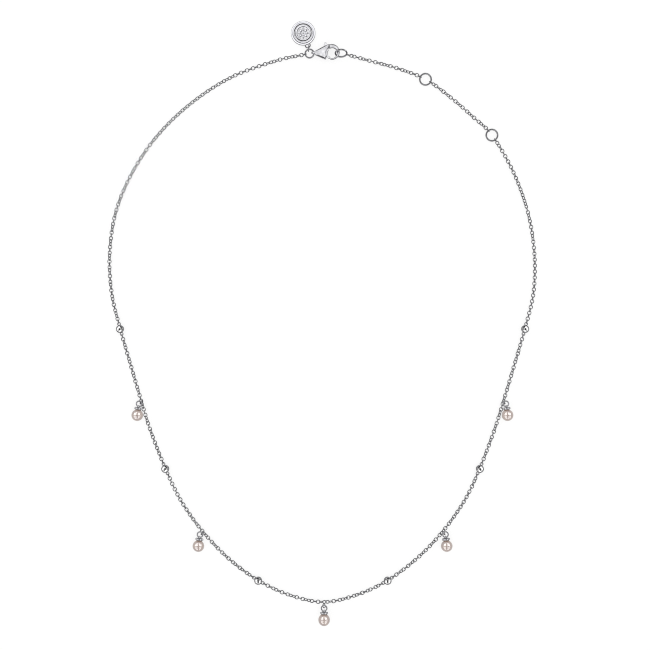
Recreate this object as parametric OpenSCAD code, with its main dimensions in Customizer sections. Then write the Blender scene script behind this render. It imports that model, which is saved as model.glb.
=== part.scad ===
// Station necklace with pearl drops, laid flat. Millimetres, +Z up.
// The origin lies at the middle of the outline, on the surface that the necklace rests on.
// +Y runs from the neck opening to the clasp, and +X to the side of the extender.

/* [Chain] */
// Width across the links of the cable chain
chain_w = 1.1; // [1:0.05:1.2]
// Longest straight step of the swept chain
chain_step = 6.2; // [6:0.1:8]
// Gap between a chain's end and the loop or ring that takes it
end_gap = 0.12; // [0.08:0.02:0.3]

/* [Stone stations] */
// Outer diameter of a bezel at its rim
bezel_d = 2.3; // [2.2:0.05:2.5]
// Height of a bezel from its open back to its rim
bezel_h = 1.33; // [1.2:0.01:1.5]
// Girdle diameter of a stone
stone_d = 1.7; // [1.6:0.02:1.72]
// Outward roll of a bezel about the chain
bezel_roll = 6; // [0:1:8]
// Mean radius of the loop soldered to each side of a bezel
loop_r = 0.42; // [0.4:0.01:0.5]
// Wire diameter of that loop
loop_wire = 0.28; // [0.24:0.02:0.3]

/* [Extender] */
// Outer diameter of the rings in the extender
ring_d = 3.8; // [3.7:0.05:3.9]
// Wire diameter of those rings
ring_wire = 0.48; // [0.44:0.02:0.5]
// Lean of the end ring, which stands inside the hook
end_ring_lean = 62; // [60:1:64]

/* [Pearl drops] */
// Diameter of a pearl
pearl_d = 3.4; // [3.3:0.05:3.5]
// Distance from a pearl's centre to the centre of its jump ring
drop_len = 3.35; // [3.3:0.05:3.4]
// Outer diameter of a drop's jump ring
drop_ring_d = 1.98; // [1.9:0.02:2]
// Wire diameter of that jump ring
drop_ring_wire = 0.38; // [0.34:0.02:0.38]
// Diameter of a bead on a pearl's cap
bead_d = 0.74; // [0.7:0.02:0.76]

/* [Clasp] */
// Outer radius of the hook
hook_r = 2.25; // [2.2:0.05:2.3]
// Radius of the eye inside the hook
eye_r = 1.5; // [1.45:0.01:1.52]
// Thickness of the clasp's body
clasp_t = 2.1; // [2:0.05:2.2]
// Thickness of the hook
hook_t = 1.2; // [1.1:0.05:1.2]
// Thickness of the lever
lever_t = 0.8; // [0.7:0.05:0.8]
// Diameter of the lever's pin
pin_d = 0.5; // [0.44:0.02:0.5]
// Rise of the clasp towards its hook, which leans on the end ring
clasp_tilt = 7; // [7:0.5:8]
// Outer diameter of the jump ring on the clasp's tail
clasp_ring_d = 2.96; // [2.9:0.02:3]

/* [Tag] */
// Diameter of the tag
tag_d = 7.1; // [6.8:0.1:7.2]
// Height of the tag's rim
tag_h = 0.85; // [0.8:0.05:1]
// Thickness of the tag inside its rim
tag_floor = 0.6; // [0.5:0.05:0.65]

/* [Hidden] */

$fn = 64;

white_gold = "gainsboro";
pearl_rose = "mistyrose";
diamond = "lightcyan";

// Route of the chain's middle, anticlockwise from the clasp to the end ring
route = [
    [-5.2, 78.5], [-13.3, 76.7], [-26.4, 71.9], [-37.9, 64.5], [-47.6, 55.3],
    [-55, 44.6], [-60, 32.9], [-61.9, 20.6], [-61.3, 8.8], [-58.8, -1.6],
    [-55.8, -12], [-52.9, -21.9], [-50, -31.2], [-45.6, -42.4],
    [-41.1, -51.7], [-35, -60.4], [-27.2, -68.6], [-18.5, -75],
    [-9.3, -79.3], [0.6, -81.3], [10.3, -79.2], [19.2, -75],
    [27.9, -68.5], [35.5, -60.5], [41.8, -51.5], [46.1, -42.4],
    [50.4, -31.1], [53.3, -21.9], [56.3, -11.9], [59.3, -1.6],
    [61.8, 8.8], [62.1, 20.4], [60.2, 32.4], [55.9, 44.3], [49.7, 55],
    [44.2, 60.3], [37.4, 66.2], [30.3, 71.3],
    [22.4, 74.4], [14.4, 76.6], [7.7, 78.4]
];
// Places on the route, counted from its first point
station_at = [9, 13, 17, 21, 25, 29];
adjust_at = [37, 34];
route_end = len(route) - 1;
chain_z = chain_w / 2;
chain_sides = 8;

// Reach of a station from its middle to the end of its loop, and of a ring in the extender
loop_at = bezel_d / 2 + loop_r - 0.06;
station_reach = loop_at + loop_r + loop_wire / 2 + end_gap;
ring_reach = ring_d / 2 + end_gap;

ring_r = (ring_d - ring_wire) / 2;
bezel_down = 0.43;
stone_r = stone_d / 2;

pearl_r = pearl_d / 2;
pearl_gap = 0.03;
drop_ring_r = (drop_ring_d - drop_ring_wire) / 2;
bead_count = 6;
bead_ring_r = 0.8;
bead_up = pearl_r + 0.27;
cap_top = pearl_r + 0.28;
cap_loop_r = 0.42;
cap_loop_wire = 0.24;
cap_loop_up = drop_len - drop_ring_r - 0.05;
// Each drop: x and y of the pearl, turn of the drop about the vertical, height of its jump ring
drops = [
    [-53.7, -26.7, -9, 1.5],
    [-35.9, -64.8, -8, 1.5],
    [0.7, -86.3, 0, 1.5],
    [36.4, -64.8, 6, 1.5],
    [54.1, -26.7, 8, 1.5]
];

clasp_place = [3, 79.1, 1.43];
eye_place = [0, -0.35];
pin_place = [-1.6, 1.3];
pin_clear = 0.04;
pin_fit = 0.01;
slot_from = -2.75;
slot_to = -0.75;
slot_t = lever_t + 0.2;
gate_r = 1.5;
lever_eye_r = 0.5;
gate_inner = 1.35;
gate_outer = 1.85;
gate_from = 138;
gate_to = 237;
gate_end_r = 0.3;
tip_gap = 0.1;
gate_end = eye_place + gate_r * [cos(gate_to), sin(gate_to)];
gate_sweep_r = norm(gate_end - pin_place) + gate_end_r + tip_gap;
tail_eye_place = [-5.41, -0.05];
tail_eye_hole = 0.4;
tail_eye_r = 0.64;
tail_eye_t = 0.7;

end_ring_place = [5.65, 78.7, ring_r * sin(end_ring_lean) + ring_wire / 2 + 0.02];
clasp_ring_place = [-3.55, 78.8, 0.69];
clasp_ring_wire = 0.46;
clasp_ring_tilt = 4.2;

tag_place = [-5.4, 84.8];
tag_r = tag_d / 2;
rim_w = 0.4;
inner_ring_r = 2.55;
inner_ring_w = 0.26;
petal_count = 8;
petal_r = 0.36;
petal_ring_r = 1.2;
tag_loop_turn = -70;
tag_loop_r = 0.72;
tag_loop_wire = 0.34;
tag_loop_out = tag_r + 0.25;
tag_loop_z = 0.6;
tag_ring_place = [-3.85, 80.28, 1.07];
tag_ring_r = 0.9;
tag_ring_wire = 0.32;

// Point on a smooth curve through b and c, with a and d as the points beside them
function curve_point(a, b, c, d, t) =
    0.5 * (2 * b + (c - a) * t + (2 * a - 5 * b + 4 * c - d) * t * t + (3 * b - a - 3 * c + d) * t * t * t);

function route_neighbour(k) =
    k < 0 ? 2 * route[0] - route[1]
    : k > route_end ? 2 * route[route_end] - route[route_end - 1]
    : route[k];

// Point and direction of the route, where a whole number is one of its points
function route_at(u) =
    let (k = min(floor(u), route_end - 1))
    curve_point(route_neighbour(k - 1), route[k], route[k + 1], route_neighbour(k + 2), u - k);

function route_dir(u) =
    let (step = 0.02, v = route_at(min(u + step, route_end)) - route_at(max(u - step, 0)))
    v / norm(v);

function route_turn(u) = atan2(route_dir(u).y, route_dir(u).x);

// Place on the route that lies a straight distance from one of its points, on the side where u starts
function route_beside(k, reach, u, tries = 5) =
    tries == 0 ? u : route_beside(k, reach, k + (u - k) * reach / norm(route_at(u) - route[k]), tries - 1);

function route_length(from, to) =
    from >= to ? 0 : norm(route[from + 1] - route[from]) + route_length(from + 1, to);

// Ring of points around the route, with a flat side down
function chain_ring(u) =
    let (c = route_at(u), d = route_dir(u), r = chain_w / 2 / cos(180 / chain_sides))
    [for (k = [0 : chain_sides - 1])
        let (a = 360 / chain_sides * (k + 0.5))
        [c.x - d.y * r * cos(a), c.y + d.x * r * cos(a), chain_z + r * sin(a)]];

// One stretch of chain between two places on the route, shortened at each end
module chain_stretch(from, to, trim_from, trim_to) {
    u0 = trim_from > 0 ? route_beside(from, trim_from, from + 0.2) : from;
    u1 = trim_to > 0 ? route_beside(to, trim_to, to - 0.2) : to;
    count = ceil(route_length(from, to) / chain_step);
    points = [for (i = [0 : count]) each chain_ring(u0 + (u1 - u0) * i / count)];
    sides = [for (i = [0 : count - 1]) for (k = [0 : chain_sides - 1])
        let (a = i * chain_sides + k, b = i * chain_sides + (k + 1) % chain_sides)
        [a, b, b + chain_sides, a + chain_sides]];
    first = [for (k = [0 : chain_sides - 1]) chain_sides - 1 - k];
    last = [for (k = [0 : chain_sides - 1]) count * chain_sides + k];
    color(white_gold) polyhedron(points, concat(sides, [first, last]));
}

module torus(r, wire) {
    rotate_extrude() translate([r, 0]) circle(d = wire, $fn = 32);
}

// Puts a station's children on the chain's middle, with X along the chain
module on_station(i) {
    place = route_at(station_at[i]);
    drop_back = bezel_down * cos(bezel_roll) + (bezel_d / 2 - 0.15) * sin(bezel_roll);
    translate([place.x, place.y, max(chain_z, drop_back + 0.01)])
        rotate([0, 0, route_turn(station_at[i])]) rotate([bezel_roll, 0, 0]) children();
}

// Open-backed bezel with a seat under the girdle and a lip over it
module station_bezel(i) {
    r = bezel_d / 2;
    top = bezel_h - bezel_down;
    seat = stone_r + 0.02;
    color(white_gold) on_station(i) {
        rotate_extrude()
            polygon([
                [0.62, -bezel_down], [r - 0.15, -bezel_down], [r, top - 0.45], [r, top - 0.1],
                [r - 0.09, top], [seat - 0.07, top], [seat, top - 0.1], [seat, top - 0.28], [0.62, top - 0.55]
            ]);
        for (side = [-1, 1]) translate([side * loop_at, 0, 0]) torus(loop_r, loop_wire);
    }
}

// Round brilliant: table, crown, girdle and pavilion
module station_stone(i) {
    girdle = bezel_h - bezel_down - 0.22;
    color(diamond) on_station(i)
        rotate_extrude()
            polygon([
                [0, girdle + 0.26], [stone_r * 0.57, girdle + 0.26], [stone_r, girdle + 0.04],
                [stone_r, girdle], [0, girdle - stone_r * 0.87]
            ]);
}

module adjust_ring(i) {
    place = route_at(adjust_at[i]);
    color(white_gold) translate([place.x, place.y, chain_z]) torus(ring_r, ring_wire);
}

module end_ring() {
    color(white_gold) translate(end_ring_place) rotate([end_ring_lean, 0, 0]) torus(ring_r, ring_wire);
}

// Puts a drop's children at the pearl's centre, with Y towards its jump ring
module on_drop(i) {
    rise = asin((drops[i][3] - pearl_r) / drop_len);
    translate([drops[i].x, drops[i].y, pearl_r]) rotate([0, 0, drops[i].z]) rotate([rise, 0, 0]) children();
}

module drop_ring(i) {
    color(white_gold) on_drop(i) translate([0, drop_len, 0]) torus(drop_ring_r, drop_ring_wire);
}

// Cup over the pearl with a ring of beads around its edge and a loop on top
module drop_cap(i) {
    color(white_gold) on_drop(i) rotate([-90, 0, 0]) {
        rotate_extrude() difference() {
            polygon([
                [0, pearl_r - 0.1], [0.86, pearl_r - 0.3], [0.88, pearl_r - 0.15],
                [0.8, pearl_r + 0.06], [0.38, cap_top - 0.02], [0, cap_top]
            ]);
            circle(r = pearl_r + pearl_gap, $fn = 96);
        }
        for (k = [0 : bead_count - 1]) rotate([0, 0, 360 / bead_count * k])
            translate([bead_ring_r, 0, bead_up]) sphere(d = bead_d, $fn = 32);
        translate([0, 0, cap_loop_up]) rotate([0, 90, 0]) torus(cap_loop_r, cap_loop_wire);
    }
}

module pearl(i) {
    color(pearl_rose) on_drop(i) sphere(r = pearl_r, $fn = 64);
}

// Puts the clasp's children at the middle of its hook, tail towards -X, hook leaning on the end ring
module on_clasp() {
    translate(clasp_place) rotate([0, -clasp_tilt, 0]) children();
}

module hook() {
    edge = 0.3;
    intersection() {
        linear_extrude(hook_t, center = true) difference() {
            circle(r = hook_r);
            polygon([[-0.5, -3], [-0.5, 1.2], [-3, 1.2], [-3, -3]]);
        }
        rotate_extrude()
            polygon([
                [0, -hook_t / 2], [hook_r - edge, -hook_t / 2], [hook_r, -hook_t / 2 + edge],
                [hook_r, hook_t / 2 - edge], [hook_r - edge, hook_t / 2], [0, hook_t / 2]
            ]);
    }
}

// Tail, shoulders and the two cheeks that hold the lever, cut to a side view that is thin at the tail
module clasp_trunk() {
    intersection() {
        linear_extrude(clasp_t, center = true)
            polygon([
                [-5, 0.3], [-1.85, 1.92], [-0.5, 2.19], [-0.5, 0.9], [-1.6, -0.5],
                [-1.62, -0.9], [-1.95, -2.1], [-5, -0.7]
            ]);
        rotate([90, 0, 0]) linear_extrude(6, center = true)
            polygon([
                [-5.1, -0.6], [-3.4, -clasp_t / 2], [-1.1, -clasp_t / 2], [-0.4, -hook_t / 2],
                [-0.4, hook_t / 2], [-1.1, clasp_t / 2], [-3.4, clasp_t / 2], [-5.1, 0.6]
            ]);
    }
    translate([tail_eye_place.x, tail_eye_place.y, 0]) rotate([90, 0, 0])
        cylinder(r = tail_eye_r, h = tail_eye_t, center = true);
}

module clasp_body() {
    bevel = 0.3;
    color(white_gold) on_clasp() difference() {
        union() {
            hook();
            clasp_trunk();
        }
        translate([eye_place.x, eye_place.y, 0]) {
            cylinder(r = eye_r, h = 3, center = true);
            for (side = [0, 1]) mirror([0, 0, side]) {
                translate([0, 0, hook_t / 2 - bevel]) cylinder(r1 = eye_r, r2 = eye_r + bevel, h = bevel);
                translate([0, 0, hook_t / 2]) cylinder(r = eye_r + bevel, h = 1);
            }
        }
        translate([slot_from, -3, -slot_t / 2]) cube([slot_to - slot_from, 7, slot_t]);
        intersection() {
            translate([pin_place.x, pin_place.y, 0]) cylinder(r = gate_sweep_r, h = 3, center = true);
            translate([-0.7, -2.6, -1.5]) cube([0.9, 1.6, 3]);
        }
        translate([pin_place.x, pin_place.y, 0]) cylinder(d = pin_d + 2 * pin_fit, h = 3, center = true);
        translate([tail_eye_place.x, tail_eye_place.y, 0]) rotate([90, 0, 0])
            cylinder(r = tail_eye_hole, h = 2, center = true);
    }
}

module lever_plate() {
    linear_extrude(lever_t, center = true) children();
}

// Lever: eye on the pin, gate that closes on the hook's tip, and thumb tab
module clasp_lever() {
    color(white_gold) on_clasp() difference() {
        union() {
            translate([pin_place.x, pin_place.y, 0]) cylinder(r = lever_eye_r, h = lever_t, center = true);
            lever_plate() intersection() {
                translate(eye_place) difference() {
                    circle(r = gate_outer);
                    circle(r = gate_inner);
                }
                translate(eye_place)
                    polygon([[0, 0], for (a = [gate_from, 180, gate_to]) 3 * [cos(a), sin(a)]]);
            }
            translate([gate_end.x, gate_end.y, 0]) cylinder(r = gate_end_r, h = lever_t, center = true);
            lever_plate() polygon([
                [-2.05, 1.3], [-1.75, 0], [-1.25, 0.2], [-1.2, 1.2], [-1.3, 2.2],
                [-1.7, 2.8], [-1.95, 2.9], [-2.2, 2.7], [-2.35, 2.1]
            ]);
        }
        translate([pin_place.x, pin_place.y, 0]) cylinder(r = pin_d / 2 + pin_clear, h = 2, center = true);
    }
}

module clasp_pin() {
    color(white_gold) on_clasp() translate([pin_place.x, pin_place.y, 0])
        cylinder(d = pin_d, h = clasp_t - 0.1, center = true);
}

module clasp_ring() {
    color(white_gold) translate(clasp_ring_place) rotate([0, -clasp_ring_tilt, 0])
        torus((clasp_ring_d - clasp_ring_wire) / 2, clasp_ring_wire);
}

// Round tag with a rim, an inner ring, a rosette and the loop soldered to its edge
module tag_disc() {
    color(white_gold) translate([tag_place.x, tag_place.y, 0]) {
        rotate_extrude()
            polygon([
                [0, 0], [tag_r - 0.1, 0], [tag_r, 0.1], [tag_r, tag_h - 0.1], [tag_r - 0.1, tag_h],
                [tag_r - rim_w, tag_h], [tag_r - rim_w, tag_floor], [inner_ring_r, tag_floor],
                [inner_ring_r, tag_h - 0.08], [inner_ring_r - inner_ring_w, tag_h - 0.08],
                [inner_ring_r - inner_ring_w, tag_floor], [0.45, tag_floor], [0.3, tag_h - 0.1], [0, tag_h - 0.1]
            ]);
        for (k = [0 : petal_count - 1]) rotate([0, 0, 360 / petal_count * k])
            translate([petal_ring_r, 0, tag_floor - 0.05]) cylinder(r = petal_r, h = 0.17, $fn = 32);
        difference() {
            rotate([0, 0, tag_loop_turn]) translate([tag_loop_out, 0, tag_loop_z])
                torus(tag_loop_r, tag_loop_wire);
            cylinder(r = tag_r - rim_w / 2, h = 2);
        }
    }
}

module tag_ring() {
    color(white_gold) translate(tag_ring_place) rotate([0, 90, 0]) torus(tag_ring_r, tag_ring_wire);
}

chain_stretch(0, station_at[0], 0, station_reach);  // chain_left_back
chain_stretch(station_at[0], station_at[1], station_reach, station_reach);  // chain_left_side
chain_stretch(station_at[1], station_at[2], station_reach, station_reach);  // chain_left_front
chain_stretch(station_at[2], station_at[3], station_reach, station_reach);  // chain_front
chain_stretch(station_at[3], station_at[4], station_reach, station_reach);  // chain_right_front
chain_stretch(station_at[4], station_at[5], station_reach, station_reach);  // chain_right_side
chain_stretch(station_at[5], adjust_at[1], station_reach, ring_reach);  // chain_right_back
chain_stretch(adjust_at[1], adjust_at[0], ring_reach, ring_reach);  // extender_outer
chain_stretch(adjust_at[0], route_end, ring_reach, 0);  // extender_inner
for (i = [0 : 5]) {
    station_bezel(i);
    station_stone(i);
}
for (i = [0 : 1]) adjust_ring(i);
end_ring();
clasp_body();
clasp_lever();
clasp_pin();
clasp_ring();
tag_disc();
tag_ring();
for (i = [0 : 4]) {
    drop_ring(i);
    drop_cap(i);
    pearl(i);
}
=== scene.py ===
"""Looks of a station necklace with pearl drops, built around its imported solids.

Shapes are worked on the bench in millimetres and delivered in metres, in the frame of the solids: +Z is
up from the surface that the necklace lies on, and +Y runs from the neck opening to the clasp.
"""

import logging
import math
from bisect import bisect_left
from collections.abc import Callable, Iterable, Sequence
from dataclasses import dataclass
from enum import Enum

import bmesh
import bpy
from bmesh.types import BMFace, BMVert
from mathutils import Matrix, Vector


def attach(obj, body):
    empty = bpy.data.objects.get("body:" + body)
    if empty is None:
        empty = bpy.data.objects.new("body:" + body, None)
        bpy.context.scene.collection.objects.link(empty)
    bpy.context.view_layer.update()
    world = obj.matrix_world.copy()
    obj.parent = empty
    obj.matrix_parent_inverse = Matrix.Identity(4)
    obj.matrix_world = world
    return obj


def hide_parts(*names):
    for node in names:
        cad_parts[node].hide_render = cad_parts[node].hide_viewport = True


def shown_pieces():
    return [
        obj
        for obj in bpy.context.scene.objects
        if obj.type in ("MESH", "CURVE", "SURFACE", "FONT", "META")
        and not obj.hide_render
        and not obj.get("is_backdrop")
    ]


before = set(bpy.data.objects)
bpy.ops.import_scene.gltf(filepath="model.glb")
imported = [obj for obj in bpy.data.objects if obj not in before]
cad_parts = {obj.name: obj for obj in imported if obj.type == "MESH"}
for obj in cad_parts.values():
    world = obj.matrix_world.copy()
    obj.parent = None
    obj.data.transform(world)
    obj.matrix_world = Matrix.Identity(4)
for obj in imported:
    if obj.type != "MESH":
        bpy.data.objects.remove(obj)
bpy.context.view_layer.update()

LOG = logging.getLogger("necklace")
MM = 0.001
FULL_TURN = 360.0
HALF_TURN = 180.0
QUARTER_TURN = 90.0
UP = Vector((0, 0, 1))
CLEAR = 0.01
SHOULDER = "shoulder"

Colour = tuple[float, float, float]
Place = tuple[float, float, float]
Profile = Sequence[tuple[float, float]]
Planes = Sequence[tuple[Vector, Vector]]
Sockets = dict[int | str, object]
Verts = list[BMVert]


class Body(Enum):
    """The bodies that pieces ride on."""

    NECKLACE = "necklace"
    LEVER = "lever"


class Slot(Enum):
    """The record's material slots."""

    WHITE_GOLD = "white_gold"
    PEARL = "pearl"
    DIAMOND = "diamond"


class Outline(Enum):
    """The outlines that a softbox comes in."""

    OBLONG = "RECTANGLE"
    ROUND = "ELLIPSE"


class Signal:
    """A shader socket that takes arithmetic, where each operation adds a Math node."""

    def __init__(self, graph: "Graph", socket: bpy.types.NodeSocket) -> None:
        """Wraps a socket of the graph's tree."""
        self.graph = graph
        self.socket = socket

    def _math(self, operation: str, first: "Signal | float", second: "Signal | float") -> "Signal":
        """Adds one Math node.

        Args:
            operation: Name of the node's operation.
            first: Value of its first socket.
            second: Value of its second socket.

        Returns:
            The node's result.
        """
        return self.graph.node("ShaderNodeMath", {0: first, 1: second}, operation=operation)

    def __add__(self, other: "Signal | float") -> "Signal":
        """Sum of this and the other."""
        return self._math("ADD", self, other)

    __radd__ = __add__

    def __sub__(self, other: "Signal | float") -> "Signal":
        """This less the other."""
        return self._math("SUBTRACT", self, other)

    def __rsub__(self, other: float) -> "Signal":
        """The other less this."""
        return self._math("SUBTRACT", other, self)

    def __mul__(self, other: "Signal | float") -> "Signal":
        """Product of this and the other."""
        return self._math("MULTIPLY", self, other)

    __rmul__ = __mul__

    def clip(self) -> "Signal":
        """This, held between 0 and 1."""
        return self._math("MINIMUM", self._math("MAXIMUM", self, 0.0), 1.0)

    def rise(self, start: float, gain: float) -> "Signal":
        """How far this is past a start, times a gain and held between 0 and 1."""
        return ((self - start) * gain).clip()


class Graph:
    """A node tree under construction."""

    def __init__(self, tree: bpy.types.NodeTree) -> None:
        """Empties the tree, so that it holds only what is added here."""
        tree.nodes.clear()
        self.tree = tree

    def node(
        self, kind: str, inputs: Sockets | None = None, output: int | str = 0, **settings: object
    ) -> Signal:
        """Adds a node.

        Args:
            kind: The node's type.
            inputs: Value or signal of each socket that is set, by its name or number.
            output: Name or number of the output that is wanted.
            **settings: The node's own settings, and stops for a ramp's places and colours.

        Returns:
            The output as a signal, or the first input of a node that has no output.
        """
        made = self.tree.nodes.new(kind)
        for name, value in settings.items():
            if name == "stops":
                ramp = made.color_ramp.elements
                while len(ramp) < len(value):
                    ramp.new(1.0)
                for element, (place, colour) in zip(ramp, value):
                    element.position = place
                    element.color = (*colour, 1.0)
            else:
                setattr(made, name, value)
        for key, value in (inputs or {}).items():
            if isinstance(value, Signal):
                self.tree.links.new(value.socket, made.inputs[key])
            else:
                made.inputs[key].default_value = value
        return Signal(self, made.outputs[output] if len(made.outputs) else made.inputs[0])

    def noise(self, size_mm: float, detail: float = 2.0) -> Signal:
        """Smooth noise over the piece, from 0 to 1.

        Args:
            size_mm: Size of its patches.
            detail: Number of finer layers.

        Returns:
            The noise's value.
        """
        own = self.node("ShaderNodeTexCoord", output="Object")
        return self.node("ShaderNodeTexNoise", {"Vector": own, "Scale": 1 / (size_mm * MM), "Detail": detail})

    def bump(self, height: Signal, strength: float, depth_mm: float) -> Signal:
        """The surface's normal, dented by a height."""
        depth = depth_mm * MM
        return self.node("ShaderNodeBump", {"Strength": strength, "Distance": depth, "Height": height})

    def mix(self, share: Signal, first: "Colour | Signal", second: "Colour | Signal") -> Signal:
        """Mixes two colours, by a share of the second."""
        sides = [side if isinstance(side, Signal) else (*side, 1.0) for side in (first, second)]
        # A Mix node takes its two colours at inputs 6 and 7, and gives their mix at output 2.
        return self.node("ShaderNodeMix", {0: share, 6: sides[0], 7: sides[1]}, output=2, data_type="RGBA")


@dataclass(frozen=True)
class Finish:
    """A finish that can dress any number of pieces."""

    name: str

    def material(self) -> bpy.types.Material:
        """Makes the finish's material, the first time that it is asked for.

        Returns:
            The material.
        """
        known = bpy.data.materials.get(self.name)
        if known:
            return known
        made = bpy.data.materials.new(self.name)
        made.use_nodes = True
        graph = Graph(made.node_tree)
        shader = graph.node("ShaderNodeBsdfPrincipled", self.sockets(graph))
        graph.node("ShaderNodeOutputMaterial", {"Surface": shader})
        return made

    def sockets(self, graph: Graph) -> Sockets:
        """Works out what each socket of the shader takes."""
        raise NotImplementedError


@dataclass(frozen=True)
class WhiteGold(Finish):
    """Rhodium-plated white gold, with the faint patches and grain that polishing leaves."""

    light: Colour = (0.80, 0.80, 0.82)
    dark: Colour = (0.66, 0.66, 0.69)
    patch_mm: float = 1.3
    patch_start: float = 0.3
    patch_gain: float = 2.2
    patch_share: float = 0.6
    rough_low: float = 0.12
    rough_high: float = 0.26
    grain_mm: float = 0.07
    relief: float = 0.06
    relief_mm: float = 0.01

    def sockets(self, graph: Graph) -> Sockets:
        """Works out what each socket of the metal's shader takes.

        Args:
            graph: The material's node tree.

        Returns:
            Value or signal of each socket.
        """
        patches = graph.noise(self.patch_mm, detail=3.0)
        grain = graph.noise(self.grain_mm)
        wear = self.patch_share * patches + (1 - self.patch_share) * grain
        return {
            "Base Color": graph.mix(patches.rise(self.patch_start, self.patch_gain), self.dark, self.light),
            "Metallic": 1.0,
            "Roughness": (self.rough_low + (self.rough_high - self.rough_low) * wear).clip(),
            "Normal": graph.bump(grain, self.relief, self.relief_mm),
        }


@dataclass(frozen=True)
class Nacre(Finish):
    """A cultured pearl's skin: creamy rose under a hard clear lustre, with brown shade painted on by the cap.
    """

    cream: Colour = (0.485, 0.395, 0.345)
    rose: Colour = (0.405, 0.33, 0.312)
    patch_mm: float = 1.6
    patch_start: float = 0.35
    patch_gain: float = 2.6
    cap_shade: Colour = (0.28, 0.17, 0.11)
    cap_shade_start: float = 0.74
    cap_shade_gain: float = 14.0
    cap_shade_share: float = 0.9
    rough_low: float = 0.24
    rough_high: float = 0.36
    skin_gloss: float = 0.15
    lustre_ior: float = 1.8
    lustre_rough: float = 0.07
    ripple_mm: float = 0.35
    relief: float = 0.05
    relief_mm: float = 0.02

    def sockets(self, graph: Graph) -> Sockets:
        """Works out what each socket of the pearl's shader takes.

        Args:
            graph: The material's node tree.

        Returns:
            Value or signal of each socket.
        """
        patches = graph.noise(self.patch_mm)
        ripple = graph.noise(self.ripple_mm, detail=3.0)
        skin = graph.mix(patches.rise(self.patch_start, self.patch_gain), self.rose, self.cream)
        shoulder = graph.node("ShaderNodeAttribute", output="Fac", attribute_name=SHOULDER)
        # Brown painted shade on the pearl's shoulder, just under the cap's edge.
        cap_shaded = shoulder.rise(self.cap_shade_start, self.cap_shade_gain) * self.cap_shade_share
        return {
            "Base Color": graph.mix(cap_shaded, skin, self.cap_shade),
            "Roughness": self.rough_low + (self.rough_high - self.rough_low) * ripple,
            "Specular IOR Level": self.skin_gloss,
            "Coat Weight": 1.0,
            "Coat IOR": self.lustre_ior,
            "Coat Roughness": self.lustre_rough,
            "Normal": graph.bump(ripple, self.relief, self.relief_mm),
        }


@dataclass(frozen=True)
class Brilliant(Finish):
    """Clear stone with a diamond's refraction, and the faintest warmth from place to place."""

    bright: Colour = (1.0, 0.995, 0.985)
    cool: Colour = (0.985, 0.992, 1.0)
    patch_mm: float = 0.8
    ior: float = 2.42
    clear: float = 1.0
    mirror: float = 0.05

    def sockets(self, graph: Graph) -> Sockets:
        """What each socket of the stone's shader takes."""
        return {
            "Base Color": graph.mix(graph.noise(self.patch_mm), self.bright, self.cool),
            "Roughness": 0.0,
            "IOR": self.ior,
            "Transmission Weight": self.clear,
            "Specular Tint": (self.mirror, self.mirror, self.mirror, 1.0),
        }


@dataclass(frozen=True)
class PaleBoard(Finish):
    """The plain pale board that the necklace lies on."""

    shade: Colour = (0.25, 0.25, 0.25)
    glow: float = 0.78

    def sockets(self, graph: Graph) -> Sockets:
        """What each socket of the board's shader takes, which needs no other node."""
        return {
            "Base Color": (*self.shade, 1.0),
            "Roughness": 1.0,
            "Specular IOR Level": 0.0,
            "Emission Color": (1.0, 1.0, 1.0, 1.0),
            "Emission Strength": self.glow,
        }


# The wire, ring and cup finishes are copies of the same white gold with darker base colours: painted shade
# for parts that look darker under the light.
WIRE = WhiteGold(
    "drawn_wire", light=(0.64, 0.64, 0.66), dark=(0.46, 0.46, 0.48), rough_low=0.16, rough_high=0.28
)
RING = WhiteGold(
    "ring_wire", light=(0.70, 0.70, 0.72), dark=(0.54, 0.54, 0.56), rough_low=0.16, rough_high=0.3
)
LIGHT_RING = WhiteGold("light_ring_wire", rough_low=0.14, rough_high=0.28)
BEZEL = WhiteGold(
    "bezel_polish", light=(0.74, 0.74, 0.76), dark=(0.6, 0.6, 0.62), rough_low=0.16, rough_high=0.3
)
SHADED_CUP = WhiteGold("cup_painted_shade", light=(0.7, 0.7, 0.71), dark=(0.5, 0.5, 0.51), rough_low=0.2, rough_high=0.34)
CAST = WhiteGold("cast_polish", dark=(0.44, 0.44, 0.46), patch_mm=1.0)
STAMPED = WhiteGold("stamped_tag", rough_low=0.1, rough_high=0.22, relief=0.12)
GROUND = WhiteGold(
    "tag_ground", light=(0.6, 0.6, 0.62), dark=(0.5, 0.5, 0.51), patch_mm=0.8, rough_low=0.2, rough_high=0.32,
    relief=0.5,
)
PEARL = Nacre("nacre")
STONE = Brilliant("brilliant")
# Painted shade for the stones: an opaque near-black finish on the culet and some crown facets, standing for
# the setting's dark reflection.
PAINTED_STONE_SHADE = Brilliant(
    "brilliant_painted_shade", bright=(0.01, 0.01, 0.011), cool=(0.02, 0.02, 0.023), ior=1.2, clear=0.0
)


def spun(axis: str, degrees: float) -> Matrix:
    """A turn about an axis through the origin."""
    return Matrix.Rotation(math.radians(degrees), 4, axis)


def moved(x: float, y: float, z: float) -> Matrix:
    """A shift."""
    return Matrix.Translation((x, y, z))


def bearing(ahead: Vector) -> float:
    """Direction of a vector over the board, in degrees from +X."""
    return math.degrees(math.atan2(ahead.y, ahead.x))


def set_out(name: str, data: bpy.types.ID) -> bpy.types.Object:
    """Adds an object to the scene.

    Args:
        name: The object's name.
        data: Its mesh, lamp or camera.

    Returns:
        The object.
    """
    made = bpy.data.objects.new(name, data)
    bpy.context.scene.collection.objects.link(made)
    return made


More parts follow.
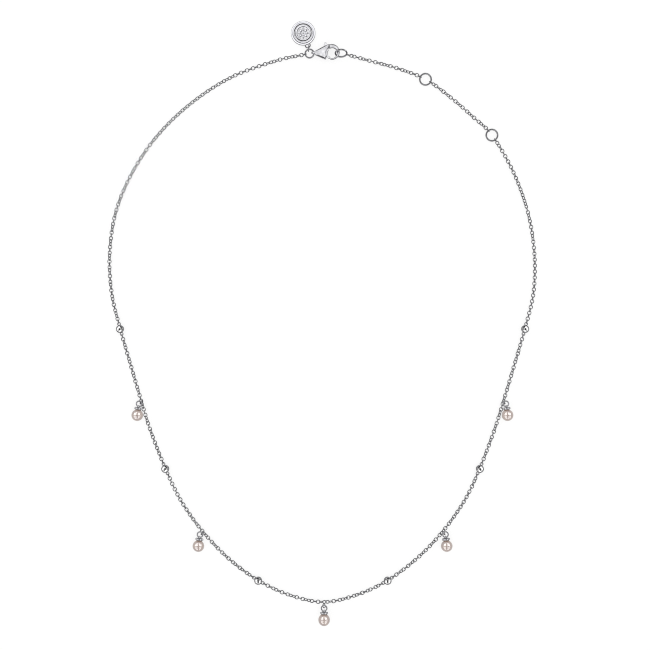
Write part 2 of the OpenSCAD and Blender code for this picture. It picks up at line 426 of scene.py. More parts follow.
class Workpiece:
    """Stock on the bench: a bmesh in millimetres, which operators shape."""

    MERGE = 1e-5

    def __init__(self) -> None:
        """Starts with nothing on the bench."""
        self.bm = bmesh.new()

    def _added(self, before: int) -> Verts:
        """The vertices that were added after the first so many."""
        self.bm.verts.ensure_lookup_table()
        return self.bm.verts[before:]

    def lathe(self, profile: Profile, steps: int, turn: float = FULL_TURN) -> Verts:
        """Turns a profile about +Z, and closes one that starts off the axis.

        Args:
            profile: Radius and height of each point.
            steps: Number of steps around.
            turn: Degrees that it turns through.

        Returns:
            The new vertices.
        """
        before = len(self.bm.verts)
        verts = [self.bm.verts.new((radius, 0.0, height)) for radius, height in profile]
        edges = [self.bm.edges.new(pair) for pair in zip(verts, verts[1:])]
        if profile[0][0] > 0:
            edges.append(self.bm.edges.new((verts[-1], verts[0])))
        bmesh.ops.spin(
            self.bm, geom=verts + edges, cent=(0, 0, 0), axis=UP, angle=math.radians(turn), steps=steps,
            use_merge=turn == FULL_TURN,
        )
        bmesh.ops.remove_doubles(self.bm, verts=self._added(before), dist=self.MERGE)
        new = self._added(before)
        turned = set(new)
        rims = [edge for edge in self.bm.edges if edge.is_boundary and edge.verts[0] in turned]
        if rims:
            bmesh.ops.holes_fill(self.bm, edges=rims)
        faces = [face for face in self.bm.faces if face.verts[0] in turned]
        bmesh.ops.recalc_face_normals(self.bm, faces=faces)
        return new

    def ring(self, radius: float, wire: float, steps: int, sides: int, turn: float = FULL_TURN) -> Verts:
        """Bends round wire into a ring, or into part of one.

        Args:
            radius: Radius of the wire's middle.
            wire: Diameter of the wire.
            steps: Number of steps around the ring.
            sides: Number of sides of the wire.
            turn: Degrees that the wire bends through.

        Returns:
            The new vertices.
        """
        angles = [math.tau * (side + 0.5) / sides for side in range(sides)]
        section = [(radius + wire / 2 * math.cos(a), wire / 2 * math.sin(a)) for a in angles]
        return self.lathe(section, steps, turn)

    def ball(self, radius: float, fineness: int = 3) -> Verts:
        """Adds a ball at the origin and returns its vertices."""
        return bmesh.ops.create_icosphere(self.bm, subdivisions=fineness, radius=radius)["verts"]

    def place(self, verts: Iterable[BMVert], *steps: Matrix) -> None:
        """Moves vertices by a chain of matrices.

        Args:
            verts: The vertices.
            *steps: The matrices, of which the last acts first.
        """
        whole = Matrix.Identity(4)
        for step in steps:
            whole = whole @ step
        bmesh.ops.transform(self.bm, matrix=whole, verts=list(verts))

    def stamp(self, pattern: bpy.types.Mesh, at: Matrix) -> None:
        """Adds a copy of a pattern mesh.

        Args:
            pattern: The mesh, in millimetres.
            at: Where the copy goes.
        """
        copy = pattern.copy()
        copy.transform(at)
        self.bm.from_mesh(copy)
        bpy.data.meshes.remove(copy)

    def grade(self, name: str, value: Callable[[BMVert], float]) -> None:
        """Gives every vertex a value that a finish can read.

        Args:
            name: The attribute's name.
            value: Works out a vertex's value.
        """
        layer = self.bm.verts.layers.float.new(name)
        for vert in self.bm.verts:
            vert[layer] = value(vert)

    def mark(self, wanted: Callable[[BMFace], bool]) -> None:
        """Marks faces for the second finish.

        Args:
            wanted: Says whether a face is marked.
        """
        self.bm.normal_update()
        for face in self.bm.faces:
            face.material_index = int(wanted(face))

    def pattern(self, name: str) -> bpy.types.Mesh:
        """Takes the work off the bench as a plain mesh.

        Args:
            name: The mesh's name.

        Returns:
            The mesh, in the units of the work.
        """
        mesh = bpy.data.meshes.new(name)
        self.bm.to_mesh(mesh)
        self.bm.free()
        return mesh

    def deliver(
        self, name: str, finish: Finish, nodes: Sequence[str] = (), slot: Slot = Slot.WHITE_GOLD,
        body: Body = Body.NECKLACE, rounds: int = 0, smooth: bool = True, crease: float = QUARTER_TURN,
        second: Finish | None = None,
    ) -> None:
        """Takes the work off the bench as a finished piece in metres.

        Args:
            name: The piece's name.
            finish: What it is dressed in.
            nodes: Solids that it stands for.
            slot: The record's material slot, which is not used here.
            body: What it rides on.
            rounds: Levels of subdivision.
            smooth: Whether its faces are shaded smoothly.
            crease: Angle in degrees from which an edge stays sharp.
            second: What the marked faces are dressed in.
        """
        for face in self.bm.faces:
            face.smooth = smooth
        bmesh.ops.transform(self.bm, matrix=Matrix.Scale(MM, 4), verts=self.bm.verts)
        mesh = self.pattern(name)
        if smooth and not rounds:
            mesh.set_sharp_from_angle(angle=math.radians(crease))
        for dress in filter(None, (finish, second)):
            mesh.materials.append(dress.material())
        piece = set_out(name, mesh)
        if rounds:
            rounding = piece.modifiers.new("rounding", "SUBSURF")
            rounding.levels = rounding.render_levels = rounds
        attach(piece, body.value)
        if nodes:
            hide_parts(*nodes)
        LOG.info("%s: %d faces, rides on %s", name, len(mesh.polygons), body.value)


class Route:
    """The line that the chain's middle follows on the board, from the clasp round to the end ring."""

    POINTS = (
        (-5.2, 78.5), (-13.3, 76.7), (-26.4, 71.9), (-37.9, 64.5), (-47.6, 55.3), (-55, 44.6),
        (-60, 32.9), (-61.9, 20.6), (-61.3, 8.8), (-58.8, -1.6), (-55.8, -12), (-52.9, -21.9),
        (-50, -31.2), (-45.6, -42.4), (-41.1, -51.7), (-35, -60.4), (-27.2, -68.6), (-18.5, -75),
        (-9.3, -79.3), (0.6, -81.3), (10.3, -79.2), (19.2, -75), (27.9, -68.5), (35.5, -60.5),
        (41.8, -51.5), (46.1, -42.4), (50.4, -31.1), (53.3, -21.9), (56.3, -11.9), (59.3, -1.6),
        (61.8, 8.8), (62.1, 20.4), (60.2, 32.4), (55.9, 44.3), (49.7, 55), (44.2, 60.3),
        (37.4, 66.2), (30.3, 71.3), (22.4, 74.4), (14.4, 76.6), (7.7, 78.4),
    )
    FRONT = 19
    FINENESS = 60
    GLANCE = 0.02

    def __init__(self) -> None:
        """Walks the curve once and notes how far each of its steps is from the start."""
        self.points = [Vector(point) for point in self.POINTS]
        self.last = len(self.points) - 1
        self.walk = [self.at(step / self.FINENESS) for step in range(self.last * self.FINENESS + 1)]
        self.far = [0.0]
        for here, there in zip(self.walk, self.walk[1:]):
            self.far.append(self.far[-1] + (there - here).length)

    def _near(self, number: int) -> Vector:
        """Looks up a point, also one step past either end.

        Args:
            number: The point's number.

        Returns:
            The point, or where the next one would lie.
        """
        if number < 0:
            return 2 * self.points[0] - self.points[1]
        if number > self.last:
            return 2 * self.points[-1] - self.points[-2]
        return self.points[number]

    def at(self, u: float) -> Vector:
        """Finds a place on the smooth curve through all points.

        Args:
            u: Number of a point, or a number between those of two points.

        Returns:
            The place.
        """
        number = min(int(u), self.last - 1)
        t = u - number
        a, b, c, d = (self._near(number + step) for step in (-1, 0, 1, 2))
        square, cube = 2 * a - 5 * b + 4 * c - d, 3 * b - a - 3 * c + d
        return 0.5 * (2 * b + (c - a) * t + square * t**2 + cube * t**3)

    def heading(self, u: float) -> float:
        """Direction of the route at u, in degrees from +X."""
        return bearing(self.at(min(u + self.GLANCE, self.last)) - self.at(max(u - self.GLANCE, 0.0)))

    def distance(self, number: int) -> float:
        """How far along the route one of its points is."""
        return self.far[number * self.FINENESS]

    def spot(self, distance: float) -> tuple[Vector, Vector]:
        """Finds a place by its distance along the route.

        Args:
            distance: Distance from the start, which may lie a little past either end.

        Returns:
            The place and the direction there.
        """
        step = min(max(bisect_left(self.far, distance) - 1, 0), len(self.walk) - 2)
        here, there = self.walk[step], self.walk[step + 1]
        ahead = (there - here).normalized()
        return here + ahead * (distance - self.far[step]), ahead


@dataclass(frozen=True)
class CableLink:
    """A small oval link of round wire. It lies flat, with its length along X."""

    long: float = 1.42
    wide: float = 1.28
    wire: float = 0.28
    steps: int = 12
    sides: int = 4

    def pattern(self) -> bpy.types.Mesh:
        """Bends a coarse link that comes to its true size when it is subdivided once.

        Returns:
            The link's mesh, in millimetres.
        """
        # Subdivision draws the wire's section and the link's curve in to these shares of their radius.
        turn, corner = math.tau / self.steps, math.pi / self.sides
        thinned = (0.75 + 0.25 * math.cos(2 * corner) + math.cos(corner)) / 2
        bent = 0.75 + 0.25 * math.cos(turn)
        work = Workpiece()
        work.ring((self.wide - self.wire) / 2 / bent, self.wire / thinned, self.steps, self.sides)
        half = (self.long - self.wide) / 2
        for side in (-1, 1):
            ends = [vert for vert in work.bm.verts if vert.co.x * side > CLEAR]
            bmesh.ops.translate(work.bm, verts=ends, vec=(side * half, 0, 0))
        return work.pattern("cable_link")

    def lift(self, roll: float) -> float:
        """Height of the middle of a link that rests on the board, rolled by so many degrees."""
        return self.wire / 2 + (self.wide - self.wire) / 2 * abs(math.sin(math.radians(roll)))


@dataclass(frozen=True)
class End:
    """An end of a stretch of chain: a point of the route, and how far from it the next link's middle is."""

    point: int
    reach: float


STATION_POINTS = (9, 13, 17, 21, 25, 29)
STATION_REACH = 2.24
RING_REACH = 1.87


@dataclass(frozen=True)
class Lay:
    """How the chain lies up to some distance along its route: its pitch, and the twist from link to link."""

    until: float
    pitch: float
    twist: float
    roll: float | None = None


LAYS = (
    Lay(10.0, 0.916, 76.0), Lay(21.0, 0.932, 90.3, 0.0), Lay(50.0, 0.93, 90.0, 46.0), Lay(68.0, 0.92, 75.0),
    Lay(110.0, 0.85, 71.5), Lay(148.0, 0.85, 73.0), Lay(170.0, 0.855, 88.0), Lay(197.0, 0.85, 71.0),
    Lay(222.0, 0.92, 74.0), Lay(262.0, 0.86, 71.5), Lay(276.0, 0.855, 89.0), Lay(314.0, 0.848, 71.5),
    Lay(345.0, 0.87, 90.5, 32.0), Lay(357.0, 0.87, 76.0), Lay(376.0, 0.885, 88.0, 34.0),
    Lay(408.0, 0.91, 71.0), Lay(440.0, 0.89, 78.0),
)


@dataclass(frozen=True)
class Stretch:
    """One stretch of cable chain between two fittings."""

    node: str
    start: End
    stop: End
    settle: int = 6

    def links(self, route: Route) -> list[tuple[float, float]]:
        """Works out each link's distance along the route and its roll.

        Args:
            route: The line that the chain follows.

        Returns:
            Distance in millimetres and roll in degrees of each link.
        """
        first = route.distance(self.start.point) + self.start.reach
        last = route.distance(self.stop.point) - self.stop.reach
        laid = [(first, QUARTER_TURN)]
        known = None
        while True:
            place, roll = laid[-1]
            lay = next(lay for lay in LAYS if place < lay.until)
            if place + lay.pitch / 2 > last:
                break
            turned = roll + lay.twist
            if lay.roll is not None and known not in (None, lay):
                turned = lay.roll
            known = lay
            laid.append((place + lay.pitch, turned))
        stretch = (last - first) / (laid[-1][0] - first)
        # The last few links take up the twist that is over, so that the end one stands as the first does.
        over = laid[-1][1] % HALF_TURN - QUARTER_TURN
        count = len(laid) - 1
        return [
            (first + (place - first) * stretch, roll - over * max(0.0, 1 - (count - k) / self.settle))
            for k, (place, roll) in enumerate(laid)
        ]

    def build(self, route: Route, link: CableLink, pattern: bpy.types.Mesh) -> None:
        """Lays the stretch's links along the route.

        Args:
            route: The line that the chain follows.
            link: Sizes of the link.
            pattern: The link's mesh.
        """
        work = Workpiece()
        laid = self.links(route)
        lifts = [link.lift(roll) for _, roll in laid]
        for number, (distance, roll) in enumerate(laid):
            here, ahead = route.spot(distance)
            height = max(lifts[max(number - 1, 0) : number + 2])
            at = moved(here.x, here.y, height) @ spun("Z", bearing(ahead)) @ spun("X", roll)
            work.stamp(pattern, at)
        work.deliver(f"links_{self.node}", WIRE, [self.node], rounds=1)


@dataclass(frozen=True)
class Chain:
    """The whole chain: seven stretches of the loop and two of the extender."""

    link: CableLink = CableLink()
    nodes: tuple[str, ...] = (
        "chain_left_back", "chain_left_side", "chain_left_front", "chain_front", "chain_right_front",
        "chain_right_side", "chain_right_back", "extender_outer", "extender_inner",
    )
    ends: tuple[End, ...] = (
        End(0, -0.2), *(End(point, STATION_REACH) for point in STATION_POINTS), End(34, RING_REACH),
        End(37, RING_REACH), End(40, 0.1),
    )

    def build(self, route: Route) -> bpy.types.Mesh:
        """Lays every stretch.

        Args:
            route: The line that the chain follows.

        Returns:
            The link's mesh, for the links that the drops hang from.
        """
        pattern = self.link.pattern()
        for node, start, stop in zip(self.nodes, self.ends, self.ends[1:]):
            Stretch(node, start, stop).build(route, self.link, pattern)
        return pattern


@dataclass(frozen=True)
class Station:
    """A round stone in an open-backed bezel, with a loop soldered to each side."""

    number: int
    point: int
    bezel_d: float = 2.3
    bezel_h: float = 1.33
    bezel_down: float = 0.43
    bore_r: float = 0.62
    foot_in: float = 0.15
    least_z: float = 0.55
    roll: float = 6.0
    stone_d: float = 1.7
    stone_gap: float = 0.02
    girdle_down: float = 0.22
    facet_flat: float = 0.6
    crease: float = 50.0
    loop_r: float = 0.42
    loop_wire: float = 0.28
    loop_at: float = 1.51
    shade_turn: float = 47.0
    shade_half: float = 24.0
    shade_up: float = 0.1
    level: float = 0.99

    @property
    def top(self) -> float:
        """Height of the bezel's lip over the station's middle."""
        return self.bezel_h - self.bezel_down

    def seat(self, route: Route) -> Matrix:
        """Finds where the station lies.

        Args:
            route: The line that the chain follows.

        Returns:
            The place of its middle, with X along the chain.
        """
        tilt = math.radians(self.roll)
        foot = self.bezel_down * math.cos(tilt) + (self.bezel_d / 2 - self.foot_in) * math.sin(tilt)
        here = route.at(self.point)
        at = moved(here.x, here.y, max(self.least_z, foot + CLEAR))
        return at @ spun("Z", route.heading(self.point)) @ spun("X", self.roll)

    def build(self, route: Route) -> None:
        """Builds the bezel with its loops, and the stone.

        Args:
            route: The line that the chain follows.
        """
        seat = self.seat(route)
        work = Workpiece()
        work.lathe(self._profile(), steps=64)
        for side in (-1, 1):
            loop = work.ring(self.loop_r, self.loop_wire, steps=40, sides=14)
            work.place(loop, moved(side * self.loop_at, 0, 0))
        work.place(work.bm.verts, seat)
        work.deliver(f"bezel_{self.number}", BEZEL, [f"station_bezel_{self.number}"], crease=self.crease)
        stone = self._cut()
        # Paints the culet and the crown facets towards the clasp with the near-black painted shade.
        stone.mark(self._is_painted_shade)
        stone.place(stone.bm.verts, seat)
        stone.deliver(
            f"stone_{self.number}", STONE, [f"station_stone_{self.number}"], Slot.DIAMOND, smooth=False,
            second=PAINTED_STONE_SHADE,
        )

    def _profile(self) -> Profile:
        """Draws the bezel's section: foot, wall, rolled lip and the stone's seat.

        Returns:
            Radius and height of each point.
        """
        r, low, top = self.bezel_d / 2, -self.bezel_down, self.top
        seat, bore = self.stone_d / 2 + self.stone_gap, self.bore_r
        return [
            (bore, low + 0.03), (bore + 0.03, low), (r - 0.18, low), (r - 0.14, low + 0.03),
            (r - 0.01, top - 0.5), (r, top - 0.4), (r - 0.01, top - 0.2), (r - 0.04, top - 0.1),
            (r - 0.09, top - 0.03), (r - 0.16, top), (r - 0.23, top - 0.02), (seat - 0.02, top - 0.06),
            (seat - 0.05, top - 0.13), (seat, top - 0.16), (seat, top - 0.28), (bore, top - 0.55),
        ]

    def _is_painted_shade(self, face: BMFace) -> bool:
        """Tells the facets that are painted dark as the setting's reflected shade: the culet, and the crown
        inward and to the clasp.

        Args:
            face: A face of the stone, before it is turned to the chain.

        Returns:
            Whether it is one of them.
        """
        up = face.normal.z
        inner = self.shade_turn if self.point >= Route.FRONT else HALF_TURN - self.shade_turn
        off = (bearing(face.calc_center_median()) - inner + HALF_TURN) % FULL_TURN - HALF_TURN
        return up < -self.level or (self.shade_up < up < self.level and abs(off) < self.shade_half)

    def _cut(self) -> Workpiece:
        """Cuts a round brilliant: table, crown, girdle and pavilion.

        Returns:
            The stone on the bench.
        """
        r, girdle = self.stone_d / 2, self.top - self.girdle_down
        # Number of corners, radius, height over the girdle and first corner's direction of each tier.
        tiers = (
            (8, 0.57 * r, 0.26, 0.0), (8, 0.80 * r, 0.175, 22.5), (16, r, 0.04, 0.0), (16, r, 0.0, 0.0),
            (8, 0.38 * r, -0.62 * 0.87 * r, 22.5),
        )
        work = Workpiece()
        for count, radius, height, start in tiers:
            for k in range(count):
                angle = math.radians(start + FULL_TURN / count * k)
                work.bm.verts.new((radius * math.cos(angle), radius * math.sin(angle), girdle + height))
        bmesh.ops.convex_hull(work.bm, input=work.bm.verts)
        bmesh.ops.dissolve_limit(
            work.bm, angle_limit=math.radians(self.facet_flat), verts=work.bm.verts, edges=work.bm.edges
        )
        return work


@dataclass(frozen=True)
class JumpRing:
    """A ring of round wire that is soldered shut."""

    name: str
    node: str
    outer: float
    wire: float
    at: Place
    lean: tuple[str, float] = ("X", 0.0)
    finish: Finish = RING

    def build(self) -> None:
        """Builds the ring where it lies."""
        work = Workpiece()
        ring = work.ring((self.outer - self.wire) / 2, self.wire, steps=96, sides=20)
        work.place(ring, moved(*self.at), spun(*self.lean))
        work.deliver(self.name, self.finish, [self.node])


@dataclass(frozen=True)
class Drop:
    """A pearl under a beaded cap, on a jump ring that a small link hangs from the chain."""

    number: int
    x: float
    y: float
    turn: float
    link_from: Place
    link_to: Place
    link_roll: float = 70.0
    ring_z: float = 1.5
    tall: float = 1.0
    pearl_r: float = 1.7
    long: float = 3.35
    ring_outer: float = 1.98
    ring_wire: float = 0.38
    bead_d: float = 0.74
    beads: int = 6
    bead_at: float = 0.8
    bead_up: float = 0.27
    loop_r: float = 0.42
    loop_wire: float = 0.24
    loop_gap: float = 0.05
    glue_gap: float = 0.03
    crease: float = 60.0

    @property
    def ring_r(self) -> float:
        """Radius of the middle of the jump ring's wire."""
        return (self.ring_outer - self.ring_wire) / 2

    def seat(self) -> Matrix:
        """Place of the pearl's middle, with Y towards the jump ring."""
        rise = math.degrees(math.asin((self.ring_z - self.pearl_r) / self.long))
        return moved(self.x, self.y, self.pearl_r) @ spun("Z", self.turn) @ spun("X", rise)

    def build(self, link: bpy.types.Mesh) -> None:
        """Builds the drop and the small link above it.

        Args:
            link: Mesh of the chain's link.
        """
        self._pearl()
        self._cap()
        work = Workpiece()
        ring = work.ring(self.ring_r, self.ring_wire, steps=64, sides=16)
        work.place(ring, self.seat(), moved(0, self.long, 0))
        work.deliver(f"drop_ring_wire_{self.number}", LIGHT_RING, [f"drop_ring_{self.number}"])
        work = Workpiece()
        start, end = Vector(self.link_from), Vector(self.link_to)
        lie = (end - start).to_track_quat("X", "Z").to_matrix().to_4x4()
        work.stamp(link, Matrix.Translation((start + end) / 2) @ lie @ spun("X", self.link_roll))
        work.deliver(f"drop_link_{self.number}", WIRE, rounds=1)

    def _pearl(self) -> None:
        """Builds the pearl, graded from its shoulder under the cap down to its foot, for the painted shade
        under the cap.
        """
        work = Workpiece()
        work.ball(self.pearl_r, fineness=5)
        work.grade(SHOULDER, lambda vert: vert.co.y / self.pearl_r)
        work.place(work.bm.verts, self.seat(), Matrix.Diagonal((1, self.tall, 1, 1)))
        work.deliver(f"pearl_ball_{self.number}", PEARL, [f"pearl_{self.number}"], Slot.PEARL)

    def _cap(self) -> None:
        """Builds the cup over the pearl, the beads around its edge and the loop on top."""
        r, hollow = self.pearl_r, self.pearl_r + self.glue_gap
        inner = [(x, math.sqrt(hollow**2 - x**2)) for x in (0.0, 0.25, 0.48, 0.64, 0.72)]
        edge = [(0.77, r - 0.14), (0.8, r - 0.11), (0.81, r - 0.05)]
        crown = [(0.78, r + 0.05), (0.7, r + 0.14), (0.56, r + 0.21), (0.38, r + 0.26), (0.2, r + 0.28)]
        along = spun("X", -QUARTER_TURN)
        cup = Workpiece()
        cup.lathe([*inner, *edge, *crown, (0.0, r + 0.28)], steps=48)
        cup.place(cup.bm.verts, self.seat(), along)
        # The cup takes the darker copy of the white gold, as painted shade.
        cup.deliver(f"pearl_cup_{self.number}", SHADED_CUP, crease=self.crease)
        work = Workpiece()
        for k in range(self.beads):
            around = spun("Z", FULL_TURN / self.beads * k)
            work.place(work.ball(self.bead_d / 2), around, moved(self.bead_at, 0, r + self.bead_up))
        loop = work.ring(self.loop_r, self.loop_wire, steps=40, sides=14)
        work.place(loop, moved(0, 0, self.long - self.ring_r - self.loop_gap), spun("Y", QUARTER_TURN))
        work.place(work.bm.verts, self.seat(), along)
        work.deliver(f"beaded_cap_{self.number}", CAST, [f"drop_cap_{self.number}"], crease=self.crease)


@dataclass(frozen=True)
class Shoulder:
    """A chamfered edge of the clasp's trunk: a point of it, its run, and the chamfer's depth."""

    x: float
    y: float
    run_x: float
    run_y: float
    depth: float


@dataclass(frozen=True)
class Clasp:
    """A lobster clasp: a cast body with chamfered shoulders, and a sprung lever on its pin."""

    place: Place = (3.0, 79.1, 1.43)
    tilt: float = 7.0
    thick: float = 2.1
    shoulders: tuple[Shoulder, ...] = (
        Shoulder(-5.0, -0.7, 3.05, -1.4, 0.42), Shoulder(-5.0, 0.3, 3.15, 1.62, 0.5),
    )
    shoulder_rise: float = 0.8
    seam: float = 0.001
    body_skin: tuple[float, int] = (0.055, 4)
    lever_skin: tuple[float, int] = (0.04, 9)

    def softened(self, node: str, voxel: float, passes: int, planes: Planes = ()) -> Workpiece:
        """Takes a solid, pares its edges and rounds them as casting and polishing do.

        Args:
            node: The solid's node.
            voxel: Size of the skin's faces.
            passes: Number of times that the skin is smoothed.
            planes: A point and the outward direction of each plane that the solid is pared to.

        Returns:
            The rounded copy on the bench.
        """
        raw = set_out("raw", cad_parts[node].data.copy())
        raw.data.transform(Matrix.Scale(1 / MM, 4))
        weld = raw.modifiers.new("weld", "WELD")
        weld.merge_threshold = self.seam
        skin = raw.modifiers.new("skin", "REMESH")
        skin.mode = "VOXEL"
        skin.voxel_size = voxel
        if planes:
            raw.data = self._skinned(raw)
        for plane in planes:
            self._pare(raw.data, *plane)
        shaped = self._skinned(raw)
        work = Workpiece()
        work.bm.from_mesh(shaped)
        for _ in range(passes):
            bmesh.ops.smooth_vert(
                work.bm, verts=work.bm.verts, factor=0.5, use_axis_x=True, use_axis_y=True, use_axis_z=True
            )
        bpy.data.objects.remove(raw)
        bpy.data.meshes.remove(shaped)
        return work

    @staticmethod
    def _skinned(raw: bpy.types.Object) -> bpy.types.Mesh:
        """A copy of the raw casting's mesh with its modifiers applied."""
        return bpy.data.meshes.new_from_object(raw.evaluated_get(bpy.context.evaluated_depsgraph_get()))

    @staticmethod
    def _pare(mesh: bpy.types.Mesh, point: Vector, out: Vector) -> None:
        """Cuts away what lies outside a plane and closes the cut.

        Args:
            mesh: The mesh.
            point: A point of the plane.
            out: The direction that the plane faces.
        """
        bm = bmesh.new()
        bm.from_mesh(mesh)
        bmesh.ops.bisect_plane(
            bm, geom=[*bm.verts, *bm.edges, *bm.faces], plane_co=point, plane_no=out, clear_outer=True
        )
        bmesh.ops.holes_fill(bm, edges=[edge for edge in bm.edges if edge.is_boundary])
        bmesh.ops.triangulate(bm, faces=bm.faces)
        bm.to_mesh(mesh)
        bm.free()

    def chamfers(self) -> Planes:
        """Lays out the long steep chamfers along both shoulders of the trunk, above and below.

        Returns:
            A point and the outward direction of each chamfer's plane.
        """
        whole = moved(*self.place) @ spun("Y", -self.tilt)
        planes = []
        for edge in self.shoulders:
            along = Vector((edge.run_x, edge.run_y, 0)).normalized()
            away = along.cross(UP) if edge.run_x * edge.run_y < 0 else UP.cross(along)
            for side in (1, -1):
                out = (away + side * self.shoulder_rise * UP).normalized()
                point = Vector((edge.x, edge.y, side * (self.thick / 2 - edge.depth)))
                planes.append((whole @ point, whole.to_3x3() @ out))
        return planes

    def build(self) -> None:
        """Builds the cast body and lever, and dresses the pin."""
        body = self.softened("clasp_body", *self.body_skin, self.chamfers())
        body.deliver("clasp_shell", CAST, ["clasp_body"])
        lever = self.softened("clasp_lever", *self.lever_skin)
        lever.deliver("clasp_thumb_lever", CAST, ["clasp_lever"], body=Body.LEVER)
        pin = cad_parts["clasp_pin"].data
        pin.materials.clear()
        pin.materials.append(CAST.material())


@dataclass(frozen=True)
class Tag:
    """A round tag with a rim, raised rings and a rosette, and a loop soldered to its edge."""

    x: float = -5.4
    y: float = 84.8
    r: float = 3.55
    ground_r: float = 1.8
    petals: int = 8
    petal_at: float = 1.07
    petal_long: float = 0.6
    petal_wide: float = 0.35
    centre_r: float = 0.32
    rosette_up: float = 0.5
    crease: float = 24.0
    loop_turn: float = -70.0
    loop_bend: float = 236.0
    loop_r: float = 0.72
    loop_wire: float = 0.34
    loop_out: float = 3.8
    loop_z: float = 0.6

    def build(self) -> None:
        """Builds the tag with its loop."""
        work = Workpiece()
        work.lathe(self._profile(), steps=112)
        work.mark(self._is_ground)
        for k in range(self.petals):
            around = spun("Z", FULL_TURN / self.petals * k)
            shape = Matrix.Diagonal((self.petal_long, self.petal_wide, self.petal_wide, 1))
            work.place(work.ball(1.0, fineness=4), around, moved(self.petal_at, 0, self.rosette_up), shape)
        work.place(work.ball(self.centre_r), moved(0, 0, self.rosette_up))
        work.place(work.bm.verts, moved(self.x, self.y, 0))
        work.deliver("tag_plate", STAMPED, ["tag_disc"], crease=self.crease, second=GROUND)
        work = Workpiece()
        loop = work.ring(self.loop_r, self.loop_wire, steps=48, sides=16, turn=self.loop_bend)
        out = spun("Z", self.loop_turn) @ moved(self.loop_out, 0, self.loop_z)
        work.place(loop, moved(self.x, self.y, 0), out, spun("Z", -self.loop_bend / 2))
        work.deliver("tag_loop_wire", RING)

    def _profile(self) -> Profile:
        """Draws the tag's section: back, rim, two raised rings and the ground.

        Returns:
            Radius and height of each point.
        """
        r = self.r
        back = [(0, 0), (r - 0.13, 0), (r - 0.05, 0.03), (r, 0.12)]
        rim = [(r, 0.64), (r - 0.05, 0.76), (r - 0.13, 0.83), (r - 0.2, 0.85), (3.26, 0.85)]
        outer_ring = [(3.17, 0.7), (3.14, 0.69), (2.89, 0.84), (2.8, 0.84), (2.48, 0.65)]
        inner_ring = [(2.44, 0.65), (2.12, 0.83), (1.98, 0.83), (1.94, 0.81), (1.82, 0.56)]
        return [*back, *rim, *outer_ring, *inner_ring, (1.77, 0.54), (0, 0.54)]

    def _is_ground(self, face: BMFace) -> bool:
        """Whether a face of the tag is the ground under the rosette."""
        return face.normal.z > 0.5 and face.calc_center_median().xy.length < self.ground_r


@dataclass(frozen=True)
class Softbox:
    """A flat diffuser, level over or under the necklace, that shows in the reflections of some finishes."""

    name: str
    x: float
    y: float
    wide: float
    deep: float
    radiance: float
    lit: tuple[Finish, ...]
    outline: Outline = Outline.OBLONG
    up: float = 0.45

    def build(self, dressed: dict[str, list[bpy.types.Object]]) -> None:
        """Hangs the softbox and switches it on.

        Args:
            dressed: The pieces in each finish, by its name.
        """
        lamp = bpy.data.lights.new(self.name, "AREA")
        lamp.shape = self.outline.value
        lamp.size, lamp.size_y = self.wide, self.deep
        area = self.wide * self.deep * (math.pi / 4 if self.outline is Outline.ROUND else 1.0)
        lamp.energy = self.radiance * math.pi * area
        holder = set_out(self.name, lamp)
        holder.location = (self.x, self.y, self.up)
        holder.rotation_euler.x = math.pi if self.up < 0 else 0.0
        holder.visible_camera = holder.visible_diffuse = False
        seen_by = bpy.data.collections.new(f"seen_in_{self.name}")
        for finish in self.lit:
            for piece in dressed.get(finish.name, []):
                seen_by.objects.link(piece)
        holder.light_linking.receiver_collection = seen_by


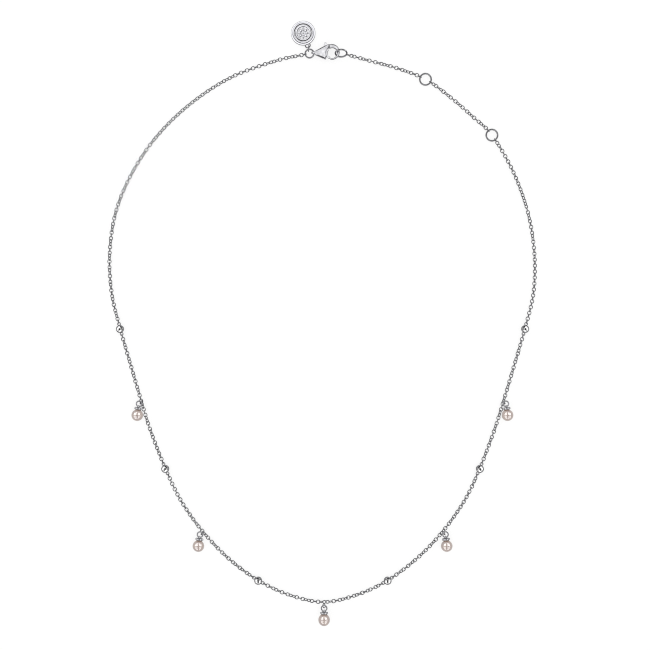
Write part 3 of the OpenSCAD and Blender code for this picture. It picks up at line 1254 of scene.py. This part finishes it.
@dataclass(frozen=True)
class Studio:
    """The pale board, the soft light and the camera that looks straight down."""

    middle: tuple[float, float] = (0.00096, -0.00044)
    camera_z: float = 0.40055
    view_wide: float = 0.1898
    sensor: float = 36.0
    aim_z: float = 0.55 * MM
    pixel_filter: float = 1.1
    board_wide: float = 6.0
    boxes: tuple[Softbox, ...] = (
        Softbox("overhead", 0.0, 0.0, 1.8, 1.8, 1.3, (STONE,), Outline.ROUND),
        Softbox("overhead_cloud", 0.0, 0.0, 1.15, 1.15, 1.2, (CAST,), Outline.ROUND),
        Softbox("overhead_disc", -0.25, 0.25, 0.9, 0.9, 1.5, (STAMPED,), Outline.ROUND),
        Softbox("overhead_spot", 0.0, 0.0, 0.24, 0.24, 1.0, (RING, LIGHT_RING, BEZEL, SHADED_CUP), Outline.ROUND),
        Softbox("window_upper_right", 0.615, 0.44, 1.0, 0.86, 6.8, (PEARL,)),
        Softbox("window_upper_left", -0.615, 0.44, 1.0, 0.86, 6.8, (PEARL,)),
        Softbox("window_lower_left", -0.615, -0.885, 1.0, 1.56, 4.4, (PEARL,)),
        Softbox("window_lower_right", 0.615, -0.885, 1.0, 1.56, 4.4, (PEARL,)),
        Softbox("board_bounce", 0.0, 0.0, 6.0, 6.0, 0.6, (PEARL,), up=-0.02),
    )
    room: tuple[tuple[float, Colour], ...] = (
        (0.0, (0.3, 0.3, 0.302)), (0.3, (0.16, 0.16, 0.162)), (0.5, (0.1, 0.1, 0.102)),
        (0.53, (0.95, 0.95, 0.955)), (0.7, (0.95, 0.95, 0.955)), (0.75, (0.1, 0.1, 0.102)),
        (1.0, (0.1, 0.1, 0.102)),
    )

    def build(self) -> None:
        """Sets up the board, the lights, the surroundings and the camera, around the finished pieces."""
        work = Workpiece()
        bmesh.ops.create_grid(work.bm, x_segments=1, y_segments=1, size=self.board_wide / 2)
        mesh = work.pattern("board")
        mesh.materials.append(PaleBoard("pale_board").material())
        board = set_out("board", mesh)
        board.visible_glossy = False
        board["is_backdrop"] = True
        dressed: dict[str, list[bpy.types.Object]] = {}
        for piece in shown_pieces():
            dressed.setdefault(piece.data.materials[0].name, []).append(piece)
        for box in self.boxes:
            box.build(dressed)
        self._surroundings()
        lens = bpy.data.cameras.new("camera")
        lens.sensor_width = self.sensor
        lens.lens = self.sensor * (self.camera_z - self.aim_z) / self.view_wide
        lens.clip_start = MM
        scene = bpy.context.scene
        scene.camera = set_out("camera", lens)
        scene.camera.location = (*self.middle, self.camera_z)
        scene.view_settings.view_transform = "Standard"
        scene.cycles.filter_width = self.pixel_filter

    def _surroundings(self) -> None:
        """Sets up a pale room, which reflections show with bright walls between a dark floor and ceiling."""
        world = bpy.data.worlds.new("studio")
        bpy.context.scene.world = world
        world.use_nodes = True
        graph = Graph(world.node_tree)
        direction = graph.node("ShaderNodeTexCoord", output="Generated")
        height = graph.node("ShaderNodeSeparateXYZ", {0: direction}, output="Z")
        room = graph.node("ShaderNodeValToRGB", {0: 0.5 * height + 0.5}, stops=self.room)
        glossy = graph.node("ShaderNodeLightPath", output="Is Glossy Ray")
        through = graph.node("ShaderNodeLightPath", output="Is Transmission Ray")
        shade = graph.mix((glossy + through).clip(), (1.0, 1.0, 1.0), room)
        light = graph.node("ShaderNodeBackground", {"Color": shade})
        graph.node("ShaderNodeOutputWorld", {"Surface": light})
        world.cycles.sampling_method = "NONE"


@dataclass(frozen=True)
class Necklace:
    """Everything that the necklace is made of."""

    stations: tuple[Station, ...] = tuple(Station(*pair) for pair in enumerate(STATION_POINTS, 1))
    drops: tuple[Drop, ...] = (
        Drop(1, -53.7, -26.7, -9, (-53.0, -23.5, 1.1), (-52.35, -22.5, 0.6)),
        Drop(2, -35.9, -64.8, -8, (-35.2, -61.6, 1.1), (-34.6, -60.7, 0.6)),
        Drop(3, 0.7, -86.3, 0, (0.7, -83.1, 1.1), (0.65, -81.7, 0.6), link_roll=45.0, tall=1.05),
        Drop(4, 36.4, -64.8, 6, (35.9, -61.6, 1.1), (35.3, -60.7, 0.6)),
        Drop(5, 54.1, -26.7, 8, (53.5, -23.5, 1.1), (52.8, -22.5, 0.6)),
    )
    rings: tuple[JumpRing, ...] = (
        JumpRing("adjust_ring_wire_1", "adjust_ring_1", 3.8, 0.48, (30.3, 71.3, 0.55)),
        JumpRing("adjust_ring_wire_2", "adjust_ring_2", 3.8, 0.48, (49.7, 55.0, 0.55)),
        JumpRing("end_ring_wire", "end_ring", 3.8, 0.48, (5.65, 78.7, 1.7257), ("X", 62.0)),
        JumpRing("clasp_ring_wire", "clasp_ring", 2.96, 0.46, (-3.55, 78.8, 0.69), ("Y", -4.2), LIGHT_RING),
        JumpRing("tag_ring_wire", "tag_ring", 2.12, 0.32, (-3.85, 80.28, 1.07), ("Y", QUARTER_TURN)),
    )

    def build(self) -> None:
        """Builds the chain, the stations, the rings, the drops, the clasp and the tag."""
        route = Route()
        link = Chain().build(route)
        for part in (*self.rings, Clasp(), Tag()):
            part.build()
        for station in self.stations:
            station.build(route)
        for drop in self.drops:
            drop.build(link)


def main() -> None:
    """Builds the necklace and the studio."""
    logging.basicConfig(level=logging.INFO, format="%(name)s: %(message)s")
    Necklace().build()
    Studio().build()


if __name__ == "__main__":
    main()
